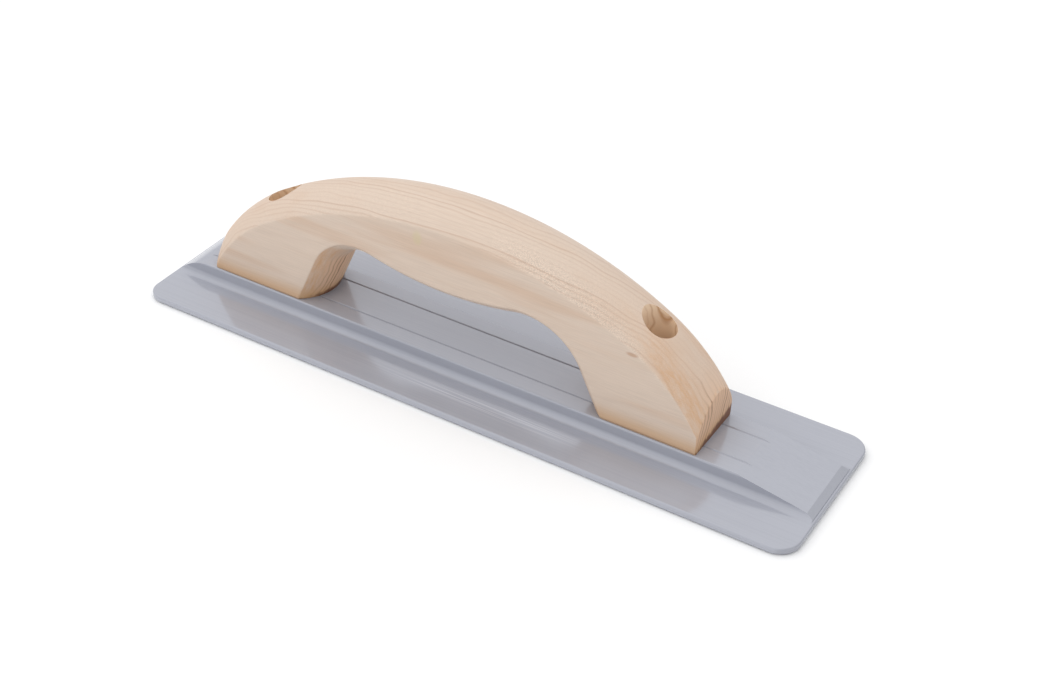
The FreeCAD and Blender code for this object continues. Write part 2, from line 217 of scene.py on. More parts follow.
def extrudedMagnesium():
    # Extruded magnesium under a thin oxide film: a dull bluish grey with weak mirror images, drawn out into
    # fine streaks along the die.
    material, tree = newMaterial("extrudedMagnesium")
    place = addNode(tree, "TexCoord")
    inMm = addNode(tree, "Mapping", values={"Scale": (1 / mm, 1 / mm, 1 / mm)},
                   links={"Vector": place.outputs["Object"]})
    squeeze = magnesium["dieLine"] / magnesium["dieLineLength"]
    drawn = addNode(tree, "Mapping", values={"Scale": (squeeze, 1.0, 1.0)},
                    links={"Vector": inMm.outputs["Vector"]})
    lines = addNode(tree, "TexNoise", values={"Scale": 1 / magnesium["dieLine"], "Detail": 3.0},
                    links={"Vector": drawn.outputs["Vector"]})
    broad = addNode(tree, "TexNoise", values={"Scale": 0.2 / magnesium["dieLine"], "Detail": 2.0},
                    links={"Vector": drawn.outputs["Vector"]})
    clouds = addNode(tree, "TexNoise", values={"Scale": 1 / magnesium["cloud"], "Detail": 4.0},
                     links={"Vector": inMm.outputs["Vector"]})
    soft = addNode(tree, "Math", {"operation": "MULTIPLY_ADD"}, {1: 0.5},
                   {0: clouds.outputs["Fac"], 2: lines.outputs["Fac"]})
    both = addNode(tree, "Math", {"operation": "MULTIPLY_ADD"}, {1: 0.5},
                   {0: broad.outputs["Fac"], 2: soft.outputs["Value"]})
    low, high = magnesium["roughness"]
    rough = addNode(tree, "MapRange", values={
        "From Min": 0.75, "From Max": 1.25, "To Min": low, "To Max": high},
        links={"Value": both.outputs["Value"]})
    streak = addNode(tree, "MapRange", values={"From Min": 0.75, "From Max": 1.1},
                     links={"Value": both.outputs["Value"]})
    streaked = addNode(tree, "Mix", {"data_type": "RGBA"}, {
        6: linearColour(magnesium["darkStreak"]), 7: linearColour(magnesium["colour"])},
        {0: streak.outputs["Result"]})
    facing = addNode(tree, "SeparateXYZ", links={"Vector": place.outputs["Normal"]})
    upright = addNode(tree, "Math", {"operation": "ABSOLUTE"}, links={0: facing.outputs["Y"]})
    # painted light: faces that stand upright are painted a little lighter
    flank = addNode(tree, "MapRange", values={
        "From Min": 0.3, "To Min": 1.0, "To Max": magnesium["flankPaintedLight"]},
        links={"Value": upright.outputs["Value"]})
    # painted shade: faces turned forwards, at the ramp's leading edge, are painted darker
    ramp = addNode(tree, "MapRange", values={
        "From Min": 0.25, "From Max": 0.4, "To Min": 1.0, "To Max": magnesium["rampPaintedShade"]},
        links={"Value": facing.outputs["X"]})
    # painted reflection: a brighter patch of lengthwise streaks on the near wing
    ahead, across = magnesium["paintedReflectionPlace"]
    length, width = magnesium["paintedReflectionSize"]
    there = addNode(tree, "Mapping", values={
        "Location": (-ahead / length, -across / width, 0.0), "Scale": (1 / length, 1 / width, 0.0)},
        links={"Vector": inMm.outputs["Vector"]})
    offPaintedReflection = addNode(tree, "VectorMath", {"operation": "LENGTH"}, links={0: there.outputs["Vector"]})
    inPaintedReflection = addNode(tree, "MapRange", {"interpolation_type": "SMOOTHSTEP"},
                    {"From Min": 1.0, "From Max": 0.3}, {"Value": offPaintedReflection.outputs["Value"]})
    reflectionStreaks = addNode(tree, "MapRange", {"interpolation_type": "SMOOTHSTEP"},
                        {"From Min": 0.48, "From Max": 0.62, "To Max": magnesium["paintedReflection"]},
                        {"Value": lines.outputs["Fac"]})
    reflectionLift = addNode(tree, "Math", {"operation": "MULTIPLY_ADD"}, {2: 1.0}, {
        0: inPaintedReflection.outputs["Result"], 1: reflectionStreaks.outputs["Result"]})
    # painted light of the upright faces times painted shade of the forward faces
    paintedFaceShade = addNode(tree, "Math", {"operation": "MULTIPLY"}, links={
        0: flank.outputs["Result"], 1: ramp.outputs["Result"]})
    shade = addNode(tree, "Math", {"operation": "MULTIPLY"}, links={
        0: paintedFaceShade.outputs["Value"], 1: reflectionLift.outputs["Value"]})
    tint = addNode(tree, "VectorMath", {"operation": "SCALE"}, links={
        0: streaked.outputs[2], "Scale": shade.outputs["Value"]})

    # painted shade lies in the two fine grooves along the rib, more of it in the far one and under the grip,
    # and dulls the mirror there
    split = addNode(tree, "SeparateXYZ", links={"Vector": inMm.outputs["Vector"]})
    grooveShadeColour, far, near = magnesium["grooveShade"]
    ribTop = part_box("blade")[1].z / mm
    depth = magnesium["grooveDepth"]
    below = addNode(tree, "MapRange", values={"From Min": ribTop, "From Max": ribTop - 2 * depth},
                    links={"Value": split.outputs["Z"]})
    deep = addNode(tree, "ValToRGB", links={"Fac": below.outputs["Result"]})
    addStops(deep, [(0.02, 0.0), (0.12, 1.0), (0.55, 1.0), (0.62, 0.0)])
    offLine = addNode(tree, "Math", {"operation": "ABSOLUTE"}, links={0: split.outputs["Y"]})
    offGroove = addNode(tree, "Math", {"operation": "SUBTRACT"}, {1: magnesium["grooveSpread"] / 2},
                        {0: offLine.outputs["Value"]})
    away = addNode(tree, "Math", {"operation": "ABSOLUTE"}, links={0: offGroove.outputs["Value"]})
    inGroove = addNode(tree, "MapRange", values={
        "From Min": magnesium["grooveWidth"] / 2, "From Max": magnesium["grooveWidth"] / 5},
        links={"Value": away.outputs["Value"]})
    side = addNode(tree, "MapRange", values={
        "From Min": -1.0, "From Max": 1.0, "To Min": near, "To Max": far},
        links={"Value": split.outputs["Y"]})
    onSide = addNode(tree, "Math", {"operation": "MULTIPLY"}, links={
        0: inGroove.outputs["Result"], 1: side.outputs["Result"]})
    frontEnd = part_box("handle")[1].x / mm
    before, after = magnesium["grooveShadeEnds"]
    # the painted shade is strongest under the grip and thins past its front end
    underGrip = addNode(tree, "MapRange", values={
        "From Min": frontEnd - before, "From Max": frontEnd + after, "To Min": 1.0,
        "To Max": magnesium["openGrooveShade"]}, links={"Value": split.outputs["X"]})
    lying = addNode(tree, "Math", {"operation": "MULTIPLY"}, links={
        0: onSide.outputs["Value"], 1: underGrip.outputs["Result"]})
    grooveShading = addNode(tree, "Math", {"operation": "MULTIPLY"}, links={
        0: lying.outputs["Value"], 1: deep.outputs["Color"]})
    grooveShaded = addNode(tree, "Mix", {"data_type": "RGBA"}, {7: linearColour(grooveShadeColour)},
                    {0: grooveShading.outputs["Value"], 6: tint.outputs["Vector"]})
    bare = addNode(tree, "MapRange", values={"To Min": magnesium["bareShare"], "To Max": 0.0},
                   links={"Value": grooveShading.outputs["Value"]})
    bump = addNode(tree, "Bump", values={
        "Strength": magnesium["bumpStrength"], "Distance": magnesium["bumpHeight"] * mm},
        links={"Height": lines.outputs["Fac"]})
    metal = addNode(tree, "BsdfPrincipled", links={
        "Base Color": grooveShaded.outputs[2], "Metallic": bare.outputs["Result"],
        "Roughness": rough.outputs["Result"], "Normal": bump.outputs["Normal"]})
    addNode(tree, "OutputMaterial", links={"Surface": metal.outputs["BSDF"]})
    return material


def dress(node, material):
    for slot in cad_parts[node].material_slots:
        slot.material = material


dress("blade", extrudedMagnesium())
print("blade dressed")

wood = {
    "earlywood": "#d5c2b1",
    "latewood": "#ab8268",
    "arrisTan": "#cb9c6f",      # a warmer tone along the edges of the front leg, on faces turned forwards
    "sideFigure": "#c9a78b",    # broad peach bands on the flat sides
    "endEarly": "#dcb797",
    "endLate": "#7b4f34",
    "bored": ("#efd5b8", "#c0946b"),    # painted light: counterbore walls painted far paler than the end grain, standing in for light inside the holes
    "footShadeTone": "#c99b66",     # painted shade: warmer, darker wood towards the bottom edges
    # painted shade, nearly black-brown, right at the bottom edges and up the end grain
    "footShadeEdge": "#6d4128",
    "knot": "#a8754c",
    "resin": "#c9c08e",
    "ringWave": 1.6,            # mm, short bends in the growth rings
    "ringDrift": 15.0,          # mm, long bends
    "ringClarity": (0.46, 0.08),    # on the crown and on the flat sides
    "weakestYear": 0.1,         # how faint the faintest ring is
    "tuftShades": (0.8, 1.2),
    "roughness": 0.55,
    "bumpStrength": 0.3,
    "bumpHeight": 0.08,         # mm
    "ringSpacing": 2.1,         # mm between growth rings
    "pith": (-75.0, 32.0),      # mm across and up, where the rings would centre
    "fibre": 0.25,              # mm across
    "fibreLength": 14.0,
    "tornGrain": 0.3,           # mm across each lifted tuft
    "footShadeHeight": 9.0,         # mm, how high the painted shade reaches
    "knotPlace": (85.9, 35.6),  # mm in front of the handle's middle and above its feet, on the near side
    "knotSize": (2.6, 0.9),
    "knotStrength": 0.5,
    "resinPlace": (-11.7, 52.7),
    "resinSize": (2.2, 3.4),
    "resinStrength": 0.35,
}


def sandedSoftwood():
    # Pale softwood, moulded and sanded: thin brown growth lines over the top, faint peach figure on the flat
    # sides, tufts of torn grain on the shoulder, and darker, thirsty wood where the cut crosses the fibres.
    material, tree = newMaterial("sandedSoftwood")
    place = addNode(tree, "TexCoord")
    inMm = addNode(tree, "Mapping", values={"Scale": (1 / mm, 1 / mm, 1 / mm)},
                   links={"Vector": place.outputs["Object"]})
    split = addNode(tree, "SeparateXYZ", links={"Vector": inMm.outputs["Vector"]})
    facing = addNode(tree, "SeparateXYZ", links={"Vector": place.outputs["Normal"]})

    # rings: distance from the pith, gently bent along the length, each ring as strong as its year
    along = addNode(tree, "Mapping", values={"Scale": (0.009, 0.03, 0.03)},
                    links={"Vector": inMm.outputs["Vector"]})
    drift = addNode(tree, "TexNoise", values={"Scale": 1.0, "Detail": 3.0},
                    links={"Vector": along.outputs["Vector"]})
    acrossPith = addNode(tree, "Math", {"operation": "SUBTRACT"}, {1: wood["pith"][0]},
                         {0: split.outputs["Y"]})
    abovePith = addNode(tree, "Math", {"operation": "SUBTRACT"}, {1: wood["pith"][1]},
                        {0: split.outputs["Z"]})
    spoke = addNode(tree, "CombineXYZ", links={
        "X": acrossPith.outputs["Value"], "Y": abovePith.outputs["Value"]})
    radius = addNode(tree, "VectorMath", {"operation": "LENGTH"}, links={0: spoke.outputs["Vector"]})
    wavy = addNode(tree, "Mapping", values={"Scale": (0.02, 0.13, 0.13)},
                   links={"Vector": inMm.outputs["Vector"]})
    wave = addNode(tree, "TexNoise", values={"Scale": 1.0, "Detail": 2.0},
                   links={"Vector": wavy.outputs["Vector"]})
    waved = addNode(tree, "Math", {"operation": "MULTIPLY_ADD"}, {1: wood["ringWave"]},
                    {0: wave.outputs["Fac"], 2: radius.outputs["Value"]})
    bent = addNode(tree, "Math", {"operation": "MULTIPLY_ADD"}, {1: wood["ringDrift"]},
                   {0: drift.outputs["Fac"], 2: waved.outputs["Value"]})
    rings = addNode(tree, "Math", {"operation": "DIVIDE"}, {1: wood["ringSpacing"]},
                    {0: bent.outputs["Value"]})
    ring = addNode(tree, "Math", {"operation": "FRACT"}, links={0: rings.outputs["Value"]})
    year = addNode(tree, "Math", {"operation": "FLOOR"}, links={0: rings.outputs["Value"]})
    growth = addNode(tree, "TexWhiteNoise", {"noise_dimensions": "1D"}, links={"W": year.outputs["Value"]})
    late = addNode(tree, "ValToRGB", links={"Fac": ring.outputs["Value"]})
    addStops(late, [(0.0, 0.3), (0.12, 0.0), (0.6, 0.05), (0.86, 1.0), (1.0, 0.3)])
    yearly = addNode(tree, "MapRange", values={"To Min": wood["weakestYear"], "To Max": 1.0},
                     links={"Value": growth.outputs["Value"]})
    strong = addNode(tree, "Math", {"operation": "MULTIPLY"}, links={
        0: late.outputs["Color"], 1: yearly.outputs["Result"]})

    # fibres: short fine streaks along the grain, drawn a little coarser than real ones so that they show
    drawn = addNode(tree, "Mapping", values={"Scale": (wood["fibre"] / wood["fibreLength"], 1.0, 1.0)},
                    links={"Vector": inMm.outputs["Vector"]})
    fibres = addNode(tree, "TexNoise", values={"Scale": 1 / wood["fibre"], "Detail": 3.0, "Roughness": 0.6},
                     links={"Vector": drawn.outputs["Vector"]})
    bands = addNode(tree, "Mapping", values={"Scale": (0.01, 0.12, 0.12), "Rotation": (0.0, 0.07, 0.0)},
                    links={"Vector": inMm.outputs["Vector"]})
    figure = addNode(tree, "TexNoise", values={"Scale": 1.0, "Detail": 2.0, "Roughness": 0.45},
                     links={"Vector": bands.outputs["Vector"]})

    # how far the cut runs across the fibres: 0 along them, 1 square across
    crossCut = addNode(tree, "Math", {"operation": "ABSOLUTE"}, links={0: facing.outputs["X"]})
    endGrain = addNode(tree, "MapRange", {"interpolation_type": "SMOOTHSTEP"},
                       {"From Min": 0.66, "From Max": 0.9}, {"Value": crossCut.outputs["Value"]})
    slant = addNode(tree, "MapRange", {"interpolation_type": "SMOOTHSTEP"},
                    {"From Min": 0.15, "From Max": 0.7, "To Max": 0.25}, {"Value": crossCut.outputs["Value"]})

    # growth lines fade on the flat sides, which lie along the rings, where broad peach bands take their place
    flatCut = addNode(tree, "Math", {"operation": "ABSOLUTE"}, links={0: facing.outputs["Y"]})
    flat = addNode(tree, "MapRange", values={"From Min": 0.8, "From Max": 0.97},
                   links={"Value": flatCut.outputs["Value"]})
    onCrown, onSides = wood["ringClarity"]
    clarity = addNode(tree, "MapRange", values={"To Min": onCrown, "To Max": onSides},
                      links={"Value": flat.outputs["Result"]})
    fade = addNode(tree, "MapRange", values={"From Min": 0.25, "From Max": 0.6, "To Min": 1.0, "To Max": 0.7},
                   links={"Value": crossCut.outputs["Value"]})
    clear = addNode(tree, "Math", {"operation": "MULTIPLY"}, links={
        0: clarity.outputs["Result"], 1: fade.outputs["Result"]})
    softLate = addNode(tree, "Math", {"operation": "MULTIPLY"}, links={
        0: strong.outputs["Value"], 1: clear.outputs["Value"]})
    lined = addNode(tree, "Mix", {"data_type": "RGBA"}, {
        6: linearColour(wood["earlywood"]), 7: linearColour(wood["latewood"])},
        {0: softLate.outputs["Value"]})
    banding = addNode(tree, "MapRange", {"interpolation_type": "SMOOTHSTEP"},
                      {"From Min": 0.48, "From Max": 0.72, "To Max": 0.5}, {"Value": figure.outputs["Fac"]})
    share = addNode(tree, "MapRange", values={"To Min": 0.35, "To Max": 1.0},
                    links={"Value": flat.outputs["Result"]})
    warmer = addNode(tree, "Math", {"operation": "MULTIPLY_ADD"}, links={
        0: banding.outputs["Result"], 1: share.outputs["Result"], 2: slant.outputs["Result"]})
    longTone = addNode(tree, "Mix", {"data_type": "RGBA"}, {7: linearColour(wood["sideFigure"])},
                       {0: warmer.outputs["Value"], 6: lined.outputs[2]})
    endTone = addNode(tree, "Mix", {"data_type": "RGBA"}, {
        6: linearColour(wood["endEarly"]), 7: linearColour(wood["endLate"])}, {0: strong.outputs["Value"]})
    # a warmer tone, in blotches, on the front leg's faces that turn forwards and partly sideways
    nearArris = addNode(tree, "ValToRGB", links={"Fac": flatCut.outputs["Value"]})
    addStops(nearArris, [(0.15, 0.0), (0.6, 1.0), (0.8, 1.0), (0.9, 0.0)])
    frontLeg = addNode(tree, "MapRange", {"interpolation_type": "SMOOTHSTEP"},
                       {"From Min": 0.3, "From Max": 0.5}, {"Value": facing.outputs["X"]})
    frontArrisFaces = addNode(tree, "Math", {"operation": "MULTIPLY"}, links={
        0: nearArris.outputs["Color"], 1: frontLeg.outputs["Result"]})
    blotchSpace = addNode(tree, "Mapping", values={"Scale": (0.12, 0.6, 0.12)},
                    links={"Vector": inMm.outputs["Vector"]})
    blotches = addNode(tree, "TexNoise", values={"Scale": 1.0, "Detail": 5.0, "Roughness": 0.75},
                     links={"Vector": blotchSpace.outputs["Vector"]})
    speckle = addNode(tree, "MapRange", values={
        "From Min": 0.36, "From Max": 0.66, "To Min": 0.15, "To Max": 0.75},
        links={"Value": blotches.outputs["Fac"]})
    warmArris = addNode(tree, "Math", {"operation": "MULTIPLY"}, links={
        0: frontArrisFaces.outputs["Value"], 1: speckle.outputs["Result"]})
    edgeTone = addNode(tree, "Mix", {"data_type": "RGBA"}, {7: linearColour(wood["arrisTan"])},
                       {0: warmArris.outputs["Value"], 6: longTone.outputs[2]})
    cutTone = addNode(tree, "Mix", {"data_type": "RGBA"}, links={
        0: endGrain.outputs["Result"], 6: edgeTone.outputs[2], 7: endTone.outputs[2]})

    # torn grain: pale and dark tufts on the near shoulder, where the cut runs up out of the fibres
    tufts = addNode(tree, "TexNoise", values={"Scale": 1 / wood["tornGrain"], "Detail": 1.0},
                    links={"Vector": inMm.outputs["Vector"]})
    dark, pale = wood["tuftShades"]
    tuft = addNode(tree, "MapRange", values={
        "From Min": 0.36, "From Max": 0.64, "To Min": dark, "To Max": pale},
        links={"Value": tufts.outputs["Fac"]})
    rising = addNode(tree, "ValToRGB", links={"Fac": facing.outputs["X"]})
    addStops(rising, [(0.05, 0.0), (0.17, 1.0), (0.3, 0.7), (0.42, 0.0)])
    shoulder = addNode(tree, "MapRange", {"interpolation_type": "SMOOTHSTEP"},
                       {"From Min": -0.25, "From Max": -0.62}, {"Value": facing.outputs["Y"]})
    torn = addNode(tree, "Math", {"operation": "MULTIPLY"}, links={
        0: rising.outputs["Color"], 1: shoulder.outputs["Result"]})
    notSide = addNode(tree, "MapRange", values={"From Min": 0.95, "From Max": 0.8},
                      links={"Value": flatCut.outputs["Value"]})
    tornHere = addNode(tree, "Math", {"operation": "MULTIPLY"}, links={
        0: torn.outputs["Value"], 1: notSide.outputs["Result"]})
    tornTone = addNode(tree, "Mix", {"data_type": "FLOAT"}, {2: 1.0}, {
        0: tornHere.outputs["Value"], 3: tuft.outputs["Result"]})
    fleck = addNode(tree, "MapRange", values={
        "From Min": 0.25, "From Max": 0.75, "To Min": 0.9, "To Max": 1.06},
        links={"Value": fibres.outputs["Fac"]})
    shade = addNode(tree, "Math", {"operation": "MULTIPLY"}, links={
        0: fleck.outputs["Result"], 1: tornTone.outputs[0]})
    tone = addNode(tree, "VectorMath", {"operation": "SCALE"}, links={
        0: cutTone.outputs[2], "Scale": shade.outputs["Value"]})

    # counterbore walls: painted light, far paler than the open end grain, standing in for light inside the
    # holes
    tone = paintedLightBoreWalls(tree, split, tone.outputs["Vector"], strong)
    # painted shade along the bottom edges, nearly black-brown on the end grain
    low, high = (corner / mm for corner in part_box("handle"))
    lift = addNode(tree, "Math", {"operation": "MULTIPLY_ADD"}, {1: 2.4, 2: -1.2 - low.z},
                   {0: figure.outputs["Fac"]})
    upFoot = addNode(tree, "Math", {"operation": "ADD"}, links={
        0: split.outputs["Z"], 1: lift.outputs["Value"]})
    footShadeMask = addNode(tree, "MapRange", {"interpolation_type": "SMOOTHSTEP"},
                    {"From Min": wood["footShadeHeight"], "From Max": 0.8, "To Max": 0.6},
                    {"Value": upFoot.outputs["Value"]})
    footShaded = addNode(tree, "Mix", {"data_type": "RGBA"}, {7: linearColour(wood["footShadeTone"])},
                      {0: footShadeMask.outputs["Result"], 6: tone})
    # painted shade right along the bottom edge
    edge = addNode(tree, "MapRange", {"interpolation_type": "SMOOTHSTEP"},
                   {"From Min": 1.1, "From Max": 0.2, "To Max": 0.4}, {"Value": upFoot.outputs["Value"]})
    leaning = addNode(tree, "Math", {"operation": "MULTIPLY_ADD"}, {1: -0.14},
                      {0: split.outputs["Y"], 2: upFoot.outputs["Value"]})
    ragged = addNode(tree, "Math", {"operation": "MULTIPLY_ADD"}, {1: -7.0},
                     {0: blotches.outputs["Fac"], 2: leaning.outputs["Value"]})
    endFootShadeMask = addNode(tree, "MapRange", {"interpolation_type": "SMOOTHSTEP"},
                   {"From Min": 0.8, "From Max": -1.6, "To Max": 0.95}, {"Value": ragged.outputs["Value"]})
    endFootShaded = addNode(tree, "Math", {"operation": "MULTIPLY"}, links={
        0: endGrain.outputs["Result"], 1: endFootShadeMask.outputs["Result"]})
    bottom = addNode(tree, "Math", {"operation": "MAXIMUM"}, links={
        0: endFootShaded.outputs["Value"], 1: edge.outputs["Result"]})
    edged = addNode(tree, "Mix", {"data_type": "RGBA"}, {7: linearColour(wood["footShadeEdge"])},
                    {0: bottom.outputs["Value"], 6: footShaded.outputs[2]})
    marked = edged.outputs[2]
    middle = (low + high) / 2
    for mark in ("knot", "resin"):
        ahead, above = wood[mark + "Place"]
        wide, tall = wood[mark + "Size"]
        there = addNode(tree, "Mapping", {"vector_type": "POINT"}, {
            "Location": (-(middle.x + ahead) / wide, -low.y, -(low.z + above) / tall),
            "Scale": (1 / wide, 1.0, 1 / tall)}, {"Vector": inMm.outputs["Vector"]})
        gap = addNode(tree, "VectorMath", {"operation": "LENGTH"}, links={0: there.outputs["Vector"]})
        spot = addNode(tree, "MapRange", {"interpolation_type": "SMOOTHSTEP"},
                       {"From Min": 1.3, "From Max": 0.5, "To Max": wood[mark + "Strength"]},
                       {"Value": gap.outputs["Value"]})
        marked = addNode(tree, "Mix", {"data_type": "RGBA"}, {7: linearColour(wood[mark])},
                         {0: spot.outputs["Result"], 6: marked}).outputs[2]

    relief = addNode(tree, "Math", {"operation": "MULTIPLY_ADD"}, links={
        0: tornHere.outputs["Value"], 1: tufts.outputs["Fac"], 2: fibres.outputs["Fac"]})
    bump = addNode(tree, "Bump", values={
        "Strength": wood["bumpStrength"], "Distance": wood["bumpHeight"] * mm},
        links={"Height": relief.outputs["Value"]})
    timber = addNode(tree, "BsdfPrincipled", values={"Roughness": wood["roughness"], "IOR": 1.5}, links={
        "Base Color": marked, "Normal": bump.outputs["Normal"]})
    addNode(tree, "OutputMaterial", links={"Surface": timber.outputs["BSDF"]})
    return material


def paintedLightBoreWalls(tree, split, tone, strong):
    # painted light: the counterbore walls are painted pale so that they look lit inside the hole
    pale, dark = wood["bored"]
    wall = addNode(tree, "Mix", {"data_type": "RGBA"}, {6: linearColour(pale), 7: linearColour(dark)},
                   {0: strong.outputs["Value"]})
    for end in ("rear", "front"):
        low, high = (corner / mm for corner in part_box(end + "_washer"))
        offX = addNode(tree, "Math", {"operation": "SUBTRACT"}, {1: (low.x + high.x) / 2},
                       {0: split.outputs["X"]})
        spoke = addNode(tree, "CombineXYZ", links={"X": offX.outputs["Value"], "Y": split.outputs["Y"]})
        radius = addNode(tree, "VectorMath", {"operation": "LENGTH"}, links={0: spoke.outputs["Vector"]})
        bore = (high.x - low.x) / 2 + grip["boreClearance"]
        inside = addNode(tree, "MapRange", values={"From Min": bore + 0.06, "From Max": bore + 0.01},
                         links={"Value": radius.outputs["Value"]})
        tone = addNode(tree, "Mix", {"data_type": "RGBA"}, links={
            0: inside.outputs["Result"], 6: tone, 7: wall.outputs[2]}).outputs[2]
    return tone


grip = {                        # mm and degrees, seen from the side
    "crestShift": 2.8,          # crest from the handle's middle
    "crestRound": 179.4,
    "rearTurn": 31.5,
    "rearRound": 86.0,
    "frontTurn": 29.1,
    "frontRound": 85.0,
    "crownRound": 20.5,         # across the grip
    "rearLeg": 51.8,
    "frontLeg": 49.8,
    "rearLean": 23.0,
    "frontLean": 26.8,
    "rearCorner": 16.8,
    "frontCorner": 23.7,
    "fingerClearance": 24.7,
    "bellyShift": 0.5,
    "bellyRound": 146.0,
    "arrisSoftness": 0.35,
    "endSoftness": 0.5,
    "boreClearance": 0.8,       # round the washer
    "shankClearance": 0.4,
    "screwDiameter": 6.35,
    "cutterOverrun": 5.0,
    "arcStep": 0.3,             # between points along the outlines
    "creaseAngle": 38.0,        # edges sharper than this stay crisp
}


def arcPoints(centre, radius, start, end, bulge=1):
    # points along an arc and the way out of the wood at each; angles from upright towards the front
    count = max(2, int(abs(end - start) * radius / grip["arcStep"]))
    made = []
    for i in range(count + 1):
        angle = start + (end - start) * i / count
        way = Vector((math.sin(angle), math.cos(angle)))
        made.append((centre + way * radius, way * bulge))
    return made


def crestLine(height):
    middle = Vector((grip["crestShift"], height - grip["crestRound"]))
    rearTurn = math.radians(grip["rearTurn"])
    frontTurn = math.radians(grip["frontTurn"])
    toRear = Vector((-math.sin(rearTurn), math.cos(rearTurn)))
    toFront = Vector((math.sin(frontTurn), math.cos(frontTurn)))
    rear = middle + toRear * (grip["crestRound"] - grip["rearRound"])
    front = middle + toFront * (grip["crestRound"] - grip["frontRound"])
    upright = math.pi / 2
    return (arcPoints(rear, grip["rearRound"], -upright, -rearTurn)
            + arcPoints(middle, grip["crestRound"], -rearTurn, frontTurn)
            + arcPoints(front, grip["frontRound"], frontTurn, upright))


def archLine(halfLength):
    # from the rear leg's foot up, along under the grip and down to the front leg's foot
    belly = Vector((grip["bellyShift"], grip["fingerClearance"] + grip["bellyRound"]))
    straightSteps = 60
    made = []
    for sign, leg, lean, corner in ((-1, "rearLeg", "rearLean", "rearCorner"),
                                    (1, "frontLeg", "frontLean", "frontCorner")):
        angle = math.radians(grip[lean])
        up = Vector((-sign * math.sin(angle), math.cos(angle)))
        across = Vector((-sign * math.cos(angle), -math.sin(angle)))
        foot = Vector((sign * (halfLength - grip[leg]), 0.0))
        onOffset = foot + across * grip[corner]
        toBelly = belly - onOffset
        rise = toBelly.dot(up)
        away = toBelly.length_squared - rise ** 2
        centre = onOffset + up * (rise - math.sqrt((grip["bellyRound"] + grip[corner]) ** 2 - away))
        knee = centre - across * grip[corner]
        straight = (knee - foot).length
        line = [(foot + up * (straight * i / straightSteps), across) for i in range(straightSteps + 1)]
        kneeAngle = math.atan2(-across.x, -across.y)
        towards = (belly - centre).normalized()
        topAngle = math.atan2(towards.x, towards.y)
        bend = arcPoints(centre, grip[corner], kneeAngle, topAngle, -1)
        made.append((line + bend, topAngle))
    (rearSide, rearTop), (frontSide, frontTop) = made
    under = arcPoints(belly, grip["bellyRound"], math.pi + rearTop, math.pi + frontTop)
    return rearSide[:-1] + under + frontSide[-2::-1]


class Curve:
    # a line in the side view that can be walked by length and measured from

    def __init__(self, points):
        self.points = points
        self.reach = [0.0]
        for (a, _), (b, _) in zip(points, points[1:]):
            self.reach.append(self.reach[-1] + (b - a).length)
        self.tree = KDTree(len(points))
        for i, (point, _) in enumerate(points):
            self.tree.insert((point.x, point.y, 0.0), i)
        self.tree.balance()

    def at(self, distance):
        low, high = 0, len(self.reach) - 1
        while high - low > 1:
            middle = (low + high) // 2
            if self.reach[middle] <= distance:
                low = middle
            else:
                high = middle
        span = self.reach[high] - self.reach[low]
        share = (distance - self.reach[low]) / span if span else 0.0
        return self.points[low][0].lerp(self.points[high][0], min(max(share, 0.0), 1.0))

    def depth(self, point):
        _, i, _ = self.tree.find((point.x, point.y, 0.0))
        near, way = self.points[i]
        return (near - point).dot(way)

    def between(self, test):
        return Curve([pair for pair in self.points if test(pair[0])])


def roundedAway(distance, radius):
    # how much a rounded edge takes off at this distance from the face it meets
    if distance >= radius:
        return 0.0
    return radius - math.sqrt(radius ** 2 - (radius - max(distance, 0.0)) ** 2)


def softMin(a, b, softness):
    h = max(softness - abs(a - b), 0.0) / softness
    return min(a, b) - h * h * softness / 4


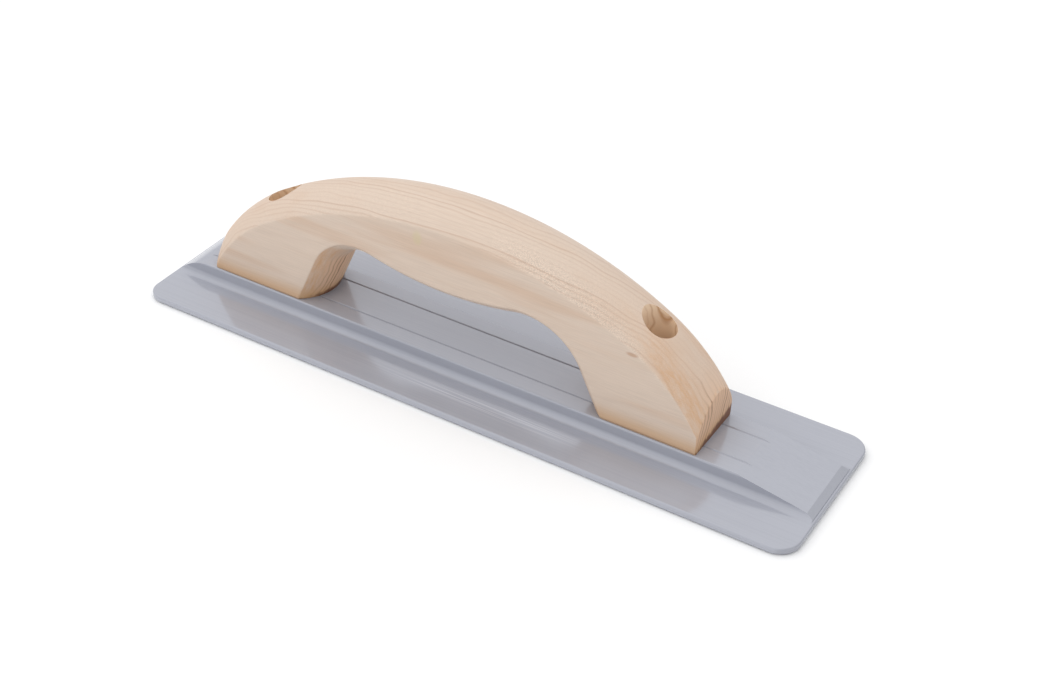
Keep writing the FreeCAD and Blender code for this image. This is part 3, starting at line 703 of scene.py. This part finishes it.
def handleMesh():
    low, high = (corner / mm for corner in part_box("handle"))
    halfLength = (high.x - low.x) / 2
    halfWidth = (high.y - low.y) / 2
    height = high.z - low.z
    crest = Curve(crestLine(height))
    arch = Curve(archLine(halfLength))
    top = crest.between(lambda point: abs(point.x) <= halfLength)
    crown = grip["crownRound"]

    rearCorner = Vector((-halfLength, top.points[0][0].y))
    frontCorner = Vector((halfLength, top.points[-1][0].y))
    stations = []
    legShare = 12.0                       # mm of each leg's inner face that faces the end
    endRows = 16
    crestRows = 200
    for i in range(endRows):
        share = i / endRows
        stations.append((Vector((-halfLength, rearCorner.y * share)), arch.at(legShare * share)))
    archLength = arch.reach[-1]
    for i in range(crestRows + 1):
        share = i / crestRows
        outer = top.at(top.reach[-1] * share)
        if i == 0:
            outer = rearCorner
        if i == crestRows:
            outer = frontCorner
        stations.append((outer, arch.at(legShare + (archLength - 2 * legShare) * share)))
    for i in range(endRows - 1, -1, -1):
        share = i / endRows
        stations.append((Vector((halfLength, frontCorner.y * share)), arch.at(archLength - legShare * share)))

    # closest together at the crest, where the crown curves away fastest
    crownShares = [0.0, 0.004, 0.016, 0.038, 0.067, 0.107, 0.16, 0.23, 0.31, 0.4, 0.51, 0.63, 0.75, 0.86,
                   0.93, 0.97, 1.0]
    pastArris = [0.25, 0.6, 1.3]            # mm
    middleSteps = 9
    arrisDepth = crown - math.sqrt(crown ** 2 - halfWidth ** 2)

    def toArris(start, end, curve):
        # how far along a station the crown's arris lies, so that a row of vertices can follow it
        low, high = 0.0, 0.6
        for _ in range(20):
            middle = (low + high) / 2
            if curve.depth(start.lerp(end, middle)) < arrisDepth:
                low = middle
            else:
                high = middle
        return max(low * (end - start).length, 1.0)

    def thickness(point, onCrest, onArch):
        if onCrest or onArch:
            return 0.0
        deep = max(min(crest.depth(point), crown), 1e-4)
        inner = max(min(arch.depth(point), crown), 1e-4)
        over = math.sqrt(2 * crown * deep - deep ** 2)
        under = math.sqrt(2 * crown * inner - inner ** 2)
        half = softMin(softMin(halfWidth, over, grip["arrisSoftness"]), under, grip["arrisSoftness"])
        endGap = halfLength - abs(point.x)
        off = roundedAway(endGap, grip["endSoftness"]) + roundedAway(point.y, grip["endSoftness"] * 0.6)
        return half * (1 - off / halfWidth)

    mesh = bmesh.new()
    middleX = (high.x + low.x) / 2

    def addVertex(point, y):
        return mesh.verts.new(((point.x + middleX) * mm, y * mm, (point.y + low.z) * mm))

    near, far = [], []
    for index, (outer, inner) in enumerate(stations):
        span = (inner - outer).length
        crestArris = toArris(outer, inner, crest)
        archArris = toArris(inner, outer, arch)
        fromCrest = [crestArris * share for share in crownShares] + [crestArris + gap for gap in pastArris]
        fromArch = [archArris * share for share in crownShares] + [archArris + gap for gap in pastArris]
        first, last = fromCrest[-1], span - fromArch[-1]
        steps = fromCrest + [first + (last - first) * i / middleSteps for i in range(1, middleSteps)]
        steps += [span - step for step in reversed(fromArch)]
        onCrest = endRows <= index <= endRows + crestRows
        nearRow, farRow = [], []
        for k, step in enumerate(steps):
            point = outer.lerp(inner, step / span)
            half = thickness(point, onCrest and k == 0, k == len(steps) - 1)
            first = addVertex(point, -half)
            nearRow.append(first)
            farRow.append(first if half == 0.0 else addVertex(point, half))
        near.append(nearRow)
        far.append(farRow)

    def addFace(*corners):
        kept = []
        for corner in corners:
            if corner not in kept:
                kept.append(corner)
        if len(kept) > 2:
            mesh.faces.new(kept)

    for i in range(len(stations) - 1):
        for k in range(len(near[0]) - 1):
            addFace(near[i][k], near[i][k + 1], near[i + 1][k + 1], near[i + 1][k])
            addFace(far[i][k], far[i + 1][k], far[i + 1][k + 1], far[i][k + 1])

    # flat faces: each end, and the underside of each foot
    columns = 12

    def addStrip(pairs, first=None):
        rows = []
        for nearEnd, farEnd in pairs:
            if nearEnd is farEnd:
                rows.append([nearEnd] * (columns + 1))
            elif first is not None and not rows:
                rows.append(first)
            else:
                inside = [mesh.verts.new(nearEnd.co.lerp(farEnd.co, j / columns)) for j in range(1, columns)]
                rows.append([nearEnd] + inside + [farEnd])
        for rowA, rowB in zip(rows, rows[1:]):
            for j in range(columns):
                addFace(rowA[j], rowA[j + 1], rowB[j + 1], rowB[j])
        return rows[0]

    lastLayer = len(near[0])
    lastStation = len(stations) - 1
    rearEnd = addStrip([(near[i][0], far[i][0]) for i in range(endRows + 1)])
    addStrip([(near[0][k], far[0][k]) for k in range(lastLayer)], rearEnd)
    frontEnd = addStrip([(near[i][0], far[i][0]) for i in range(lastStation, lastStation - endRows - 1, -1)])
    addStrip([(near[lastStation][k], far[lastStation][k]) for k in range(lastLayer)], frontEnd)
    bmesh.ops.recalc_face_normals(mesh, faces=mesh.faces)
    return mesh


def borer(name, x, seat, boreRadius, shankRadius, top, bottom):
    # the stepped cutter that opens a counterbore and its shank hole
    sides = 96
    profile = [(shankRadius, bottom), (shankRadius, seat), (boreRadius, seat), (boreRadius, top)]
    bm = bmesh.new()
    loops = []
    for radius, z in profile:
        loops.append([bm.verts.new(((x + radius * math.cos(2 * math.pi * i / sides)) * mm,
                                    radius * math.sin(2 * math.pi * i / sides) * mm, z * mm))
                      for i in range(sides)])
    for a, b in zip(loops, loops[1:]):
        for i in range(sides):
            bm.faces.new((a[i], a[(i + 1) % sides], b[(i + 1) % sides], b[i]))
    bm.faces.new(reversed(loops[0]))
    bm.faces.new(loops[-1])
    bmesh.ops.recalc_face_normals(bm, faces=bm.faces)
    mesh = bpy.data.meshes.new(name)
    bm.to_mesh(mesh)
    bm.free()
    cutter = bpy.data.objects.new(name, mesh)
    bpy.context.scene.collection.objects.link(cutter)
    return cutter


def makeHandle():
    shaped = handleMesh()
    mesh = bpy.data.meshes.new("carved_handle")
    shaped.to_mesh(mesh)
    shaped.free()
    handle = bpy.data.objects.new("carved_handle", mesh)
    bpy.context.scene.collection.objects.link(handle)
    low, high = (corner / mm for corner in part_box("handle"))
    cutters = []
    for end in ("rear", "front"):
        washerLow, washerHigh = (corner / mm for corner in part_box(end + "_washer"))
        shank = grip["screwDiameter"] / 2 + grip["shankClearance"]
        bore = (washerHigh.x - washerLow.x) / 2 + grip["boreClearance"]
        cutters.append(borer(end + "_borer", (washerLow.x + washerHigh.x) / 2, washerLow.z, bore, shank,
                             high.z + grip["cutterOverrun"], low.z - grip["cutterOverrun"]))
    for cutter in cutters:
        cut = handle.modifiers.new(cutter.name, "BOOLEAN")
        cut.operation = "DIFFERENCE"
        cut.solver = "EXACT"
        cut.object = cutter
    bpy.context.view_layer.update()
    bored = bpy.data.meshes.new_from_object(handle.evaluated_get(bpy.context.evaluated_depsgraph_get()))
    handle.modifiers.clear()
    handle.data = bored
    bpy.data.meshes.remove(mesh)
    for cutter in cutters:
        bpy.data.meshes.remove(cutter.data)
    bored.shade_smooth()
    bored.set_sharp_from_angle(angle=math.radians(grip["creaseAngle"]))
    bored.materials.clear()
    bored.materials.append(sandedSoftwood())
    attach(handle, "root")
    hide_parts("handle")
    return handle


makeHandle()
print("handle carved")


zinc = {
    "colour": "#c9ccd2",
    "roughness": (0.2, 0.42),
    "hazeScale": 1500.0,        # patches to the metre
}


def zincPlatedSteel():
    # Bright zinc plate: a bluish white metal with a slight haze.
    material, tree = newMaterial("zincPlatedSteel")
    place = addNode(tree, "TexCoord")
    haze = addNode(tree, "TexNoise", values={"Scale": zinc["hazeScale"], "Detail": 3.0},
                   links={"Vector": place.outputs["Object"]})
    bright, dull = zinc["roughness"]
    rough = addNode(tree, "MapRange", values={"To Min": bright, "To Max": dull},
                    links={"Value": haze.outputs["Fac"]})
    metal = addNode(tree, "BsdfPrincipled", values={
        "Metallic": 1.0, "Base Color": linearColour(zinc["colour"])},
        links={"Roughness": rough.outputs["Result"]})
    addNode(tree, "OutputMaterial", links={"Surface": metal.outputs["BSDF"]})
    return material


plated = zincPlatedSteel()
for hardware in ("rear_screw", "rear_washer", "front_screw", "front_washer"):
    dress(hardware, plated)
print("screws and washers dressed")
